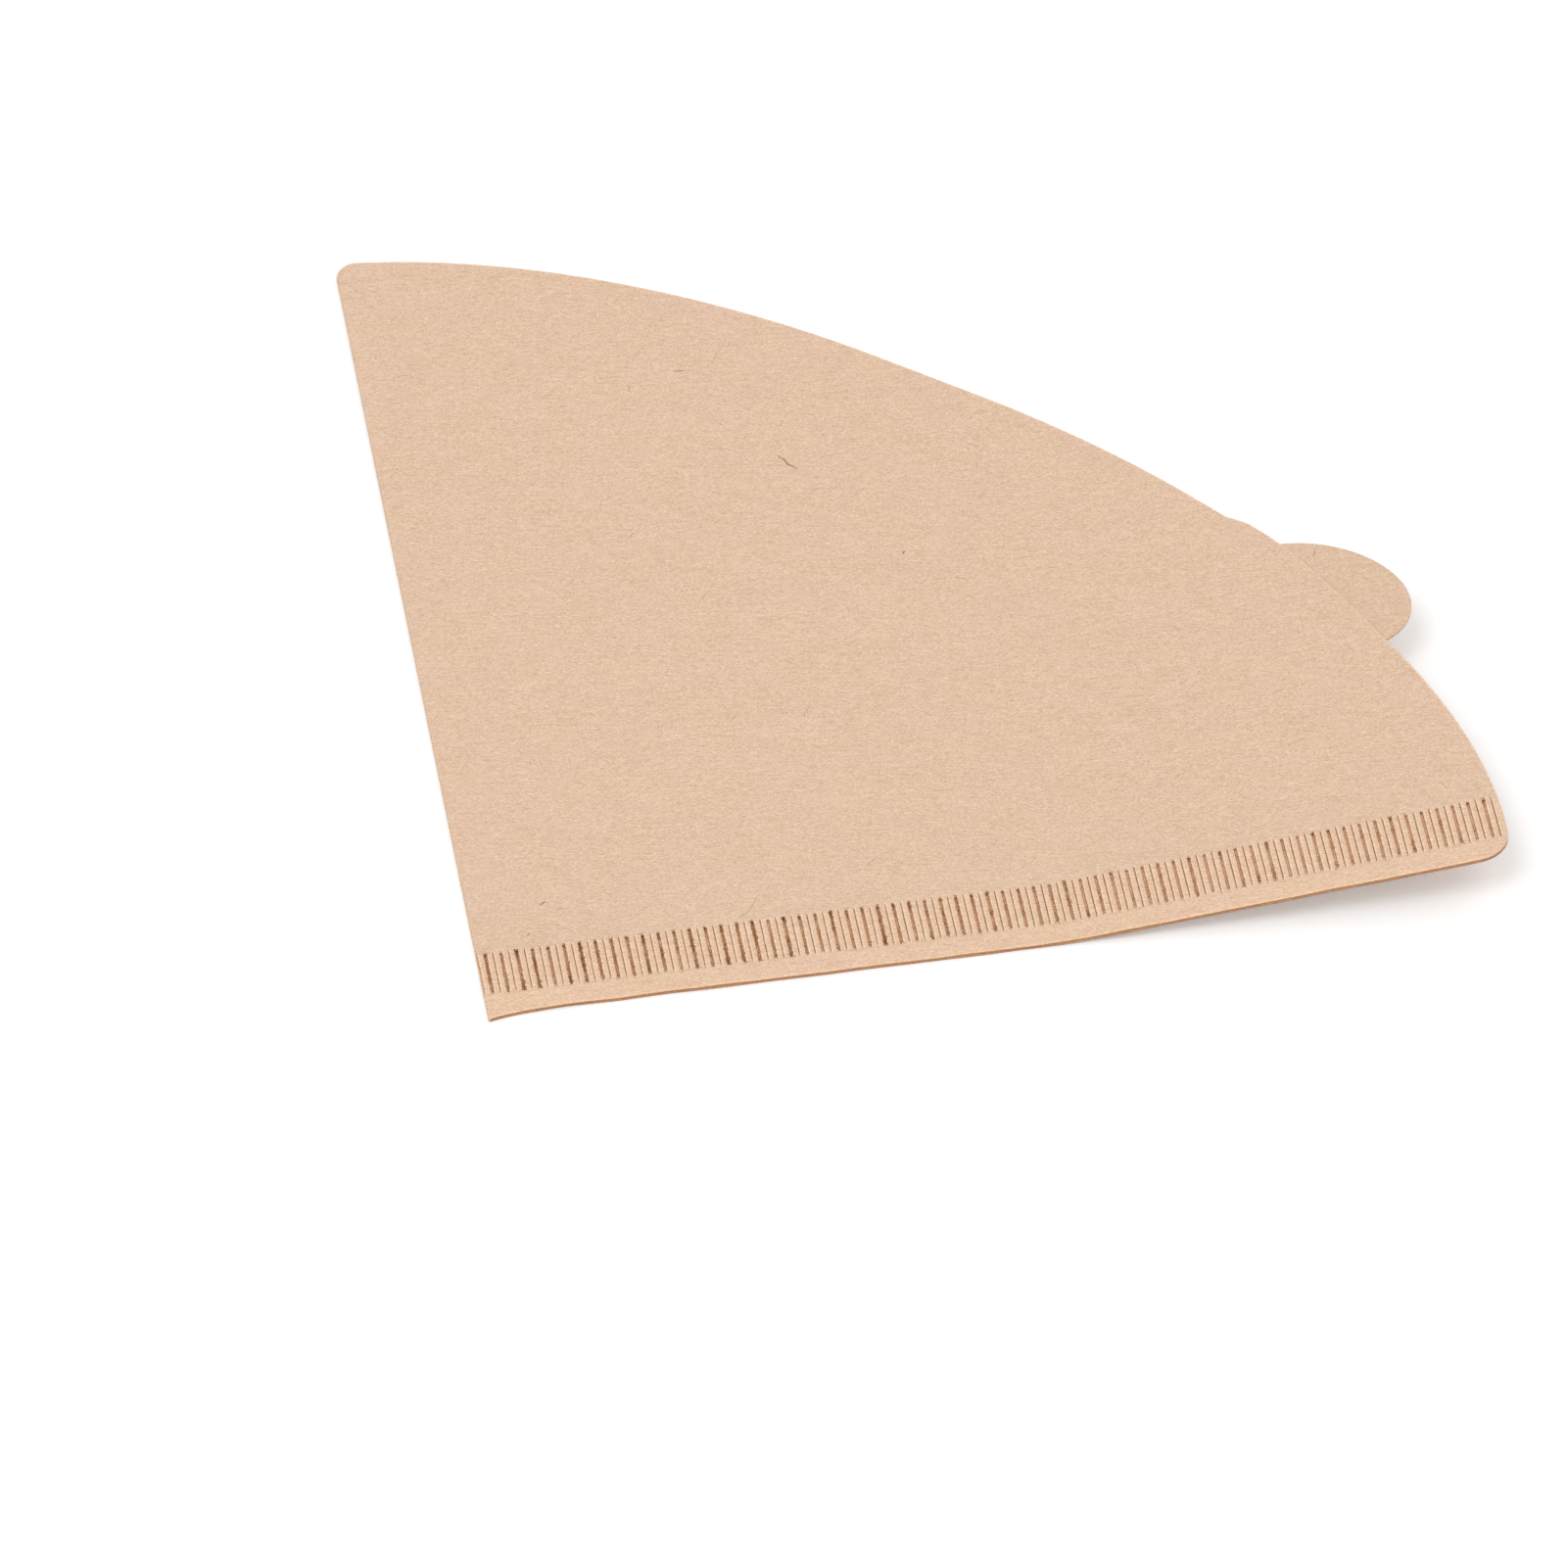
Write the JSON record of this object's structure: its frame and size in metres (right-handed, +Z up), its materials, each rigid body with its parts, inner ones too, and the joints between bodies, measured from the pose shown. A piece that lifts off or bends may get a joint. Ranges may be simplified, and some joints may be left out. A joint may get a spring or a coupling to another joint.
{
  "type": "paper coffee filter",
  "caption": "Folded flat paper cone filter with a curved open rim, a crimped seam and a pull tab.",
  "frame": {"origin": "on the surface the filter lies on, under the middle of its box", "axes": "+Z up through the two plies, +Y along the fold away from the crimped seam, +X along the seam away from the fold"},
  "size_m": [0.1178, 0.122, 0.0061],
  "materials": {
    "paper": "matte, creped, unbleached"
  },
  "bodies": {
    "root": {"filter_paper": "paper"}
  },
  "joints": []
}
